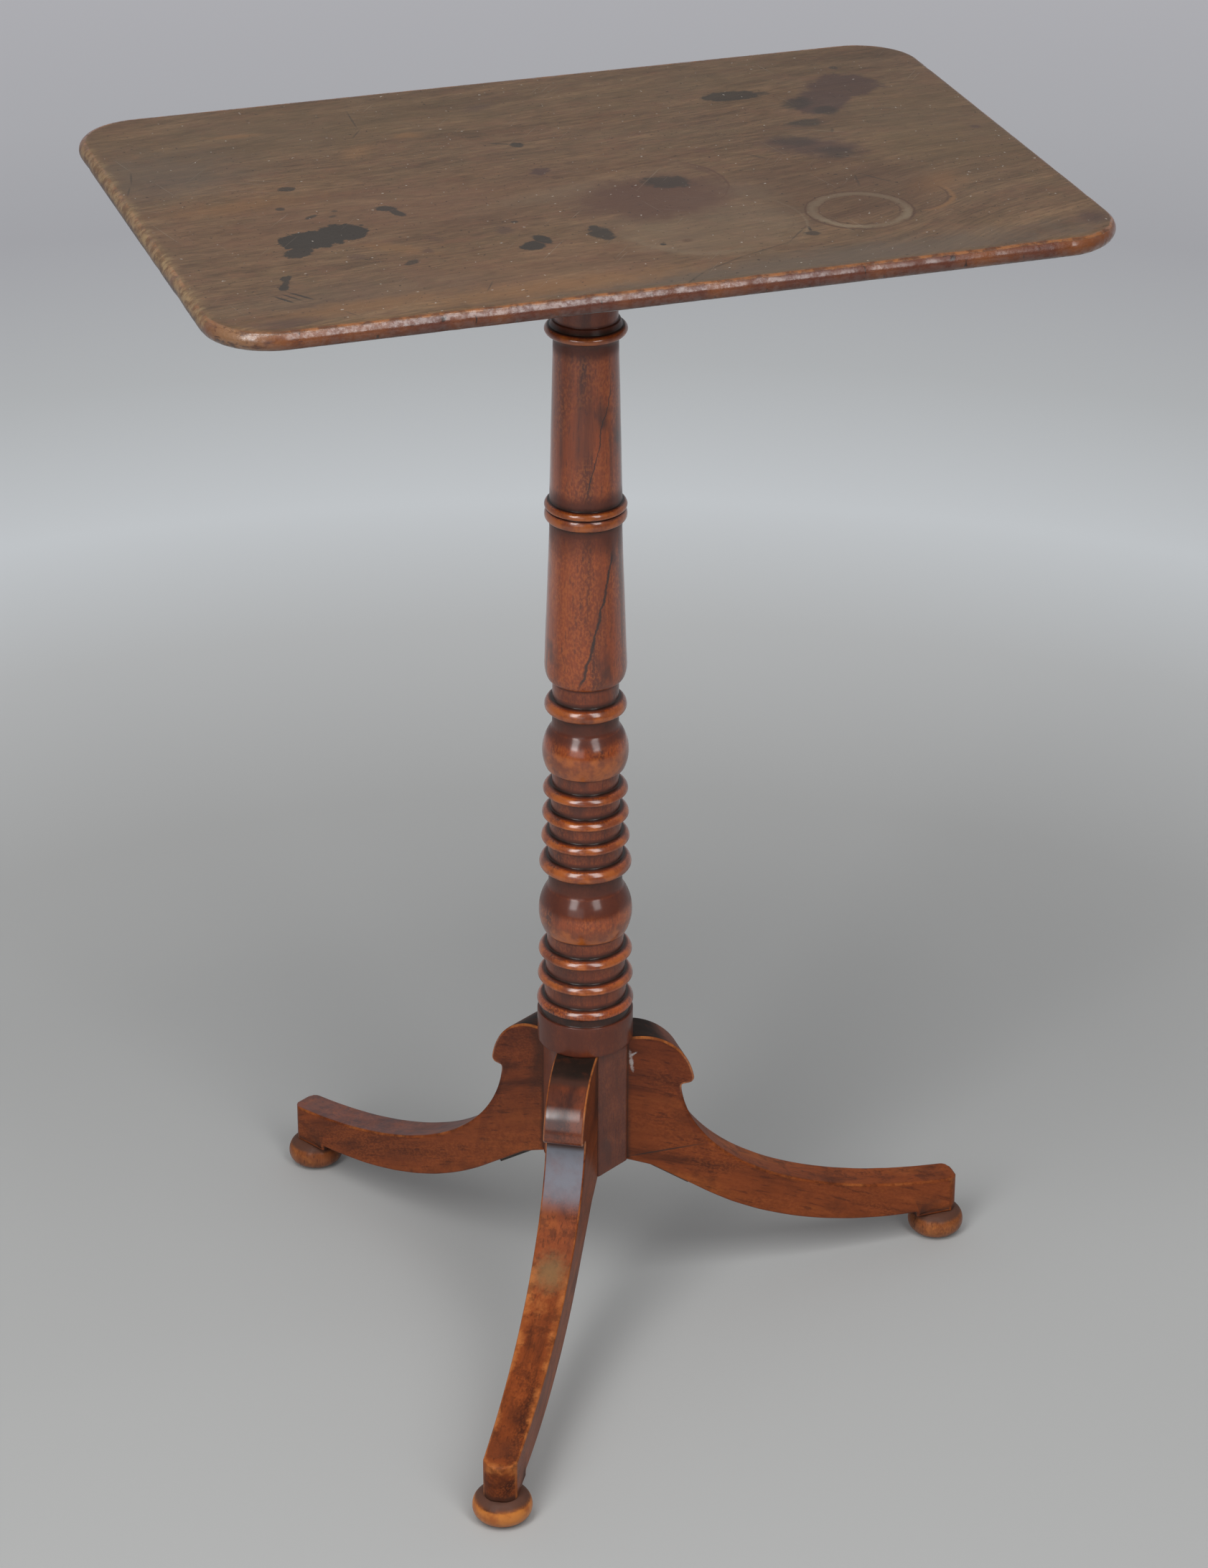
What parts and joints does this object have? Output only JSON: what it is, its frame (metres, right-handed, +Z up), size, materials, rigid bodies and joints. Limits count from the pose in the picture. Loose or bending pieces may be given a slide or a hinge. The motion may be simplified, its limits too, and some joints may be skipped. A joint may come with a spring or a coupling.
{
  "type": "wine table",
  "caption": "Small rectangular wine table with a fixed board, a ring-turned column and scrolled cabriole legs on bun feet.",
  "frame": {"origin": "on the floor under the column's axis, the middle of the underside of the bounding box", "axes": "+Z up, +X along the long side of the top and towards the right leg, +Y towards the back"},
  "size_m": [0.49, 0.429, 0.71],
  "materials": {
    "top_wood": "faded mahogany, waxed, stained and worn, half dull",
    "turned_wood": "red-brown mahogany, french polished, dark in the hollows",
    "leg_wood": "red-brown mahogany, polished, rubbed along the edges",
    "block_wood": "unpolished secondary wood",
    "brace_iron": "dark wrought strip, dull",
    "screw_steel": "old steel, dull"
  },
  "bodies": {
    "root": {"tabletop": "top_wood", "top_block": "block_wood", "block_screws": "screw_steel", "column": "turned_wood", "tenon_wedge": "block_wood", "leg_right": "leg_wood", "leg_back": "leg_wood", "leg_front": "leg_wood", "foot_right": "turned_wood", "foot_back": "turned_wood", "foot_front": "turned_wood", "leg_brace": "brace_iron", "brace_screws": "screw_steel"}
  },
  "joints": []
}
